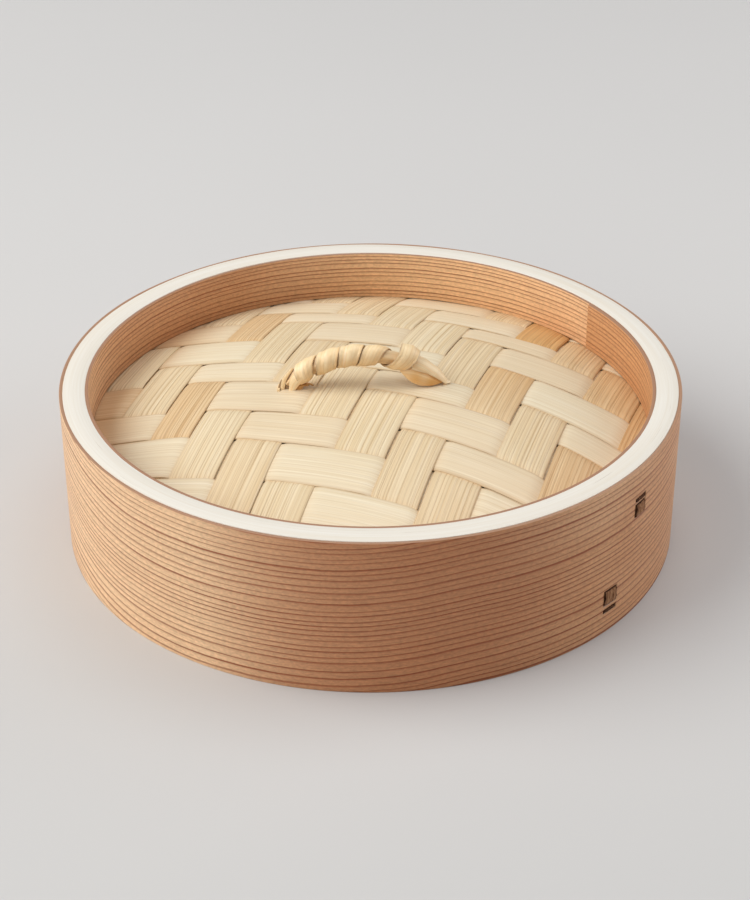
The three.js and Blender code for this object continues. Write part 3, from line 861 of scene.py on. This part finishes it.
def bent_blade(name, path, widths, side, face, material, crown, tone, thickness=0.45, groove=0.0):
    """A flat end of ribbon along a path, side being its width's direction, face the way it looks."""
    path, side, face = np.asarray(path, float), np.asarray(side, float), np.asarray(face, float)
    steps = np.linspace(0, len(path) - 1, 8 * (len(path) - 1) + 1)
    smooth = catmull(path, steps)
    half = np.interp(steps, range(len(path)), widths) / 2
    sides, faces = (np.stack([np.interp(steps, range(len(path)), way[:, k]) for k in range(3)], 1)
                    for way in (side, face))
    across = np.linspace(-1, 1, 11)
    hump = crown * (1 - across ** 2) * np.minimum(half, 2)[:, None]
    points = smooth[:, None] + (half[:, None] * across)[..., None] * sides[:, None]
    points = points + hump[..., None] * faces[:, None]
    normal = grid_normals(points, np.repeat(faces[:, None], len(across), 1))
    length, sideways = np.linspace(0, 20, len(steps)), half[:, None] * across + rng.uniform(0, 900)
    tones = np.clip(tone + 0.12 * across[None] * np.ones((len(steps), 1)), 0, 1)
    return sheet(name, points, normal, thickness, material, length, sideways, tone=tones,
                 groove=np.full(points.shape[:2], groove))


def catmull(path, steps):
    """A smooth curve through the points of a path."""
    padded = np.concatenate([2 * path[:1] - path[1:2], path, 2 * path[-1:] - path[-2:-1]])
    cell = np.minimum(steps.astype(int), len(path) - 2)
    t = (steps - cell)[:, None]
    a, b, c, d = (padded[cell + k] for k in range(4))
    curve = 2 * b + (c - a) * t + (2 * a - 5 * b + 4 * c - d) * t ** 2 + (3 * b - a - 3 * c + d) * t ** 3
    return 0.5 * curve


def by_handle(places):
    """Points given as millimetres along the handle, in front of its plane, and up."""
    places = np.asarray(places, float)
    return HANDLE_CENTRE + places[:, :1] * HANDLE_RIGHT + places[:, 1:2] * HANDLE_FRONT + places[:, 2:] * UP


def foot_blade(name, places, widths, groove, tone, material):
    """A flat end of ribbon that comes out of the mat's slit and looks to the front."""
    count = len(places)
    side = 0.94 * HANDLE_RIGHT + 0.3 * HANDLE_FRONT + np.array([0, 0, -0.15])
    face = HANDLE_FRONT + np.array([-0.25, 0, 0.15])
    return bent_blade(name, by_handle(places), widths, [side] * count, [face] * count, material, 0.22, tone,
                      groove=groove)


def make_tail(name, node, material):
    """The flat end that goes down through the mats and is folded flat under them."""
    low, high = (np.array(corner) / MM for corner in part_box(node))
    points = node_points(node)
    top = points[points[:, 2] > high[2] - 0.2].mean(0)
    far = points[np.abs(points[:, 0] - top[0]).argmax()]
    inward = math.copysign(1, far[0] - top[0])
    under = low[2] + 0.75
    end = max(low[2] + 0.55, min(far[2] + 0.6, under + 1.5))
    path = [[top[0], top[1], high[2] + 0.2], [top[0], top[1], under + 1.6],
            [top[0] + inward * 0.6, top[1], under + 0.3], [top[0] + inward * 2.2, top[1], under],
            [far[0] - inward * 0.3, top[1], end]]
    side = [[0, 1, 0]] * 5
    face = [[-inward, 0, 0], [-inward, 0, 0], [-inward * 0.7, 0, -0.7], [0, 0, -1], [0, 0, -1]]
    return bent_blade(name, path, [4.0, 4.2, 4.3, 4.4, 3.6], side, face, material, crown=0.06, tone=0.2,
                      thickness=0.8)


def make_handle(material):
    """The bundle and the ribbon move with the handle and the tails stay with the lid. The ribbon's ends
    at both feet are attached to neither."""
    whole = [(make_bundle(material), "handle_bundle", "handle"),
             (make_ribbon(material), "handle_ribbon", "handle")]
    for side in ("left", "right"):
        node = f"handle_tail_{side}"
        whole.append((make_tail(f"tail_{side}", node, material), node, "lid"))
    for piece, node, body in whole:
        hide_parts(node)
        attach(piece, body)
    feet = [foot_blade(*blade, material) for blade in LEFT_FOOT]
    feet += [make_drape(material), make_lens(material)]
    for piece in feet:
        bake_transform(piece)


def make_drape(material):
    """The ribbon's last end, laid over the right leg of the arch, pointed where it meets the mat."""
    u = np.linspace(16.5, 29.9, 60)
    part = (u - u[0]) / (u[-1] - u[0])
    across = np.linspace(-1, 1, 13)
    half_angle = np.interp(part, [0, 0.35, 0.8, 1], [1.45, 1.15, 0.95, 0.75])
    radius = np.interp(part, [0, 0.3, 0.55, 0.75, 1], [3.9, 3.85, 3.6, 2.6, 0.9]) + wander(u, 2.5, 0.12)
    angle = half_angle[:, None] * across + math.radians(8)
    out = np.cos(angle)[..., None] * arch_up(u)[:, None] + np.sin(angle)[..., None] * HANDLE_FRONT
    centre = arch(u)
    centre[:, 2] = np.maximum(centre[:, 2], FOOT_FLOOR)
    points = centre[:, None] + radius[:, None, None] * out
    normal = grid_normals(points, out)
    sideways = (radius * half_angle)[:, None] * across + 300
    tone = np.full(points.shape[:2], 0.08)
    # Painted shade along its edges.
    groove = np.repeat(0.3 * (np.abs(across) > 0.99)[None], len(u), 0)
    return sheet("foot_right_drape", points, normal, 0.45, material, u, sideways, tone=tone, groove=groove)


def make_lens(material):
    """A loose fold of golden ribbon that hangs below the right leg, pointed at both ends."""
    steps = np.linspace(0, 4, 45)
    upper, lower = catmull(by_handle(FOLD_UPPER), steps), catmull(by_handle(FOLD_LOWER), steps)
    across = np.linspace(0, 1, 13)
    points = upper[:, None] * (1 - across)[:, None] + lower[:, None] * across[:, None]
    height = np.linalg.norm(upper - lower, axis=1)
    bulge = 0.24 * height[:, None] * (4 * across * (1 - across)) ** 0.8
    towards = np.array([0.1, -0.9, -0.35])
    points = points + bulge[..., None] * towards
    points[..., 1] += 0.25 * np.sin(steps * 2.1)[:, None] * across * (1 - across) * 4
    normal = grid_normals(points, np.broadcast_to(towards, points.shape))
    tone = 0.25 + 0.12 * steps[:, None] + 0.3 * np.sin(across * 3.1)[None] + wander(steps, 0.7, 0.2)[:, None]
    # Painted shadow along its lower edge, where it hangs over the mat.
    groove = np.repeat(0.4 * (across > 0.99)[None], len(steps), 0)
    return sheet("foot_right_fold", points, normal, 0.4, material, steps * 4,
                 height[:, None] * across + 700, tone=np.clip(tone, 0, 1), groove=groove)


# ---------------------------------------------------------------- bark stitches
# Each stitch's CAD node, azimuth, and the low and high edges of its patch and of its bar.
STITCHES = (("stitch_upper", -35.2, (37.3, 41.9), (43.0, 44.0)),
            ("stitch_lower", -43.1, (10.8, 16.2), (8.0, 9.0)))
CUTTER_OUT = 0.5             # the middle of a slit's cutter past the band's face
CUTTER_SIZE = (3, 6.5)       # through the band and along it
SLIT_ROOM = 0.5


def make_stitch(name, node, azimuth, patch, bar, material):
    """A strip of bark sewn through the band: a wide patch and a narrow bar show outside."""
    turn = math.radians(azimuth)
    sign = 1 if bar[0] > patch[0] else -1
    bar_out, bar_in = bar[::-sign]
    first, last = patch[::-sign]
    # Past the band's face and up: out at the bar, along it and in, then the same at the patch.
    path = [[-0.9, bar_out], [0.05, bar_out], [0.22, (bar[0] + bar[1]) / 2], [0.05, bar_in], [-0.9, bar_in],
            [-0.9, first + sign * 0.3], [-0.1, first], [0.36, first - sign * 0.8], [0.48, (first + last) / 2],
            [0.36, last + sign * 0.8], [-0.1, last], [-0.9, last - sign * 0.2]]
    path = np.array(path) + [BAND_OUTER, 0]
    steps = np.linspace(0, len(path) - 1, 6 * (len(path) - 1) + 1)
    line = catmull(path, steps)
    across = np.linspace(-1, 1, 17)
    half = 2.8 + wander(steps, 0.8, 0.45)
    rough = np.stack([wander(steps, 0.5, 0.13) + rng.uniform(-0.1, 0.1) for _ in across], 1)
    spread = turn + (half[:, None] * across + wander(steps, 1.2, 0.2)[:, None]) / BAND_OUTER
    radius = line[:, :1] + rough + 0.12 * (1 - across ** 2)
    height = np.repeat(line[:, 1:], len(across), 1)
    points = np.stack([radius * np.cos(spread), radius * np.sin(spread), height], 2)
    out = np.broadcast_to([math.cos(turn), math.sin(turn), 0], points.shape)
    sideways = half[:, None] * across + azimuth * 7
    # Painted shade: the bark is darkened where it runs inside the band's slits and along its edges; the bar is
    # made dark too.
    dark = np.where(line[:, 0] < BAND_OUTER + 0.1, 1.0, 0.15)
    dark = np.where(np.arange(len(steps)) < 28, 0.85, dark)
    edge = 0.9 * np.abs(across) ** 6
    piece = sheet(name, points, out, 0.4, material, steps * 1.2, sideways,
                  groove=np.clip(dark[:, None] + edge, 0, 1))
    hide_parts(node)
    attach(piece, "lid")


def cutter_box(name, centre, size, turn):
    """A box to cut with, centre and size in millimetres, turned about the vertical."""
    cos, sin = math.cos(turn), math.sin(turn)
    dx, dy, dz = (length / 2 for length in size)
    points = []
    for x, y, z in [(x, y, z) for x in (-dx, dx) for y in (-dy, dy) for z in (-dz, dz)]:
        points.append([centre[0] + x * cos - y * sin, centre[1] + x * sin + y * cos, centre[2] + z])
    faces = [(0, 1, 3, 2), (4, 6, 7, 5), (0, 4, 5, 1), (2, 3, 7, 6), (0, 2, 6, 4), (1, 5, 7, 3)]
    return make_mesh(name, points, faces, bark)


def cut(piece, cutter):
    """Take the cutter out of the piece for good, and remove the cutter."""
    step = piece.modifiers.new("cut", "BOOLEAN")
    step.operation, step.object, step.solver = "DIFFERENCE", cutter, "EXACT"
    bpy.context.view_layer.update()
    ready = bpy.data.meshes.new_from_object(piece.evaluated_get(bpy.context.evaluated_depsgraph_get()))
    piece.modifiers.clear()
    piece.data = ready
    bpy.data.objects.remove(cutter)


make_camera()
make_studio()

# The band's pale tint at azimuth 222 is painted light on the side towards the key light; its dark tint at 276
# is painted shade on the front.
cedar = cedar_material(
    "cedar", BAND_OUTER, early=srgb(234, 190, 147), late=srgb(142, 66, 26), deep=srgb(208, 152, 106),
    edge=srgb(172, 132, 104), pitch=2.1, dip_depth=5.0,
    light_and_shade_tints=((222, 58, srgb(246, 210, 167), 0.7), (276, 38, srgb(186, 122, 78), 0.8)))
# The liner's dark tint at azimuth 140 is painted shade on the inside that looks away from the lights; its pale
# tint at 68 is painted light on the inside that faces them.
liner_cedar = cedar_material(
    "liner_cedar", LINER_INNER, early=srgb(238, 196, 152), late=srgb(142, 76, 38), deep=srgb(216, 166, 122),
    edge=srgb(168, 126, 98), pitch=1.75, dip_depth=1.5, tone_colour=srgb(206, 153, 106),
    light_and_shade_tints=((140, 42, srgb(196, 136, 88), 0.75), (68, 40, srgb(248, 204, 154), 0.6)))
white = white_wood_material()
smooth_bamboo = bamboo_material(
    "smooth_bamboo", pale=srgb(240, 227, 200), shade=srgb(229, 211, 176), golden=srgb(226, 184, 128),
    dark_golden=srgb(204, 152, 98), groove=srgb(190, 152, 100), line_depth=0.35, roughness=0.45)
grooved_bamboo = bamboo_material(
    "grooved_bamboo", pale=srgb(239, 223, 191), shade=srgb(226, 203, 162), golden=srgb(229, 186, 124),
    dark_golden=srgb(206, 154, 94), groove=srgb(178, 142, 94), line_depth=0.65)

corners = [[x * FLOOR_HALF, y * FLOOR_HALF, 0] for x, y in ((-1, -1), (1, -1), (1, 1), (-1, 1))]
floor = make_mesh("floor", corners, [(0, 1, 2, 3)], floor_material())

bark = bark_material()
handle_bamboo = bamboo_material(
    "handle_bamboo", pale=srgb(255, 237, 198), shade=srgb(252, 218, 165), golden=srgb(248, 194, 116),
    dark_golden=srgb(222, 164, 90), groove=srgb(112, 70, 38), line_depth=0.15, roughness=0.38)
band = make_wall(cedar, liner_cedar, white)
for node, azimuth, patch, bar in STITCHES:
    turn = math.radians(azimuth)
    for low, high in (patch, bar):
        out = BAND_OUTER + CUTTER_OUT
        centre = [out * math.cos(turn), out * math.sin(turn), (low + high) / 2]
        cut(band, cutter_box("cutter", centre, (*CUTTER_SIZE, high - low + SLIT_ROOM), turn))
    make_stitch(f"bark_{node}", node, azimuth, patch, bar, bark)
make_lining(leaf_material())
make_handle(handle_bamboo)
build_mat("upper", UPPER_TURN, MAT_LEVEL, hand_woven, edges(LONG_START, LONG_WIDTHS),
          edges(CROSS_START, CROSS_WIDTHS), upper_long_tone_and_shade, upper_cross_tone, UPPER_COLUMNS, UPPER_GROOVES)
build_mat("lower", LOWER_TURN, -MAT_LEVEL, evenly_woven, edges(LOWER_START, LOWER_WIDTHS),
          edges(LOWER_START, LOWER_WIDTHS), lower_tone, lower_tone, LOWER_COLUMNS)
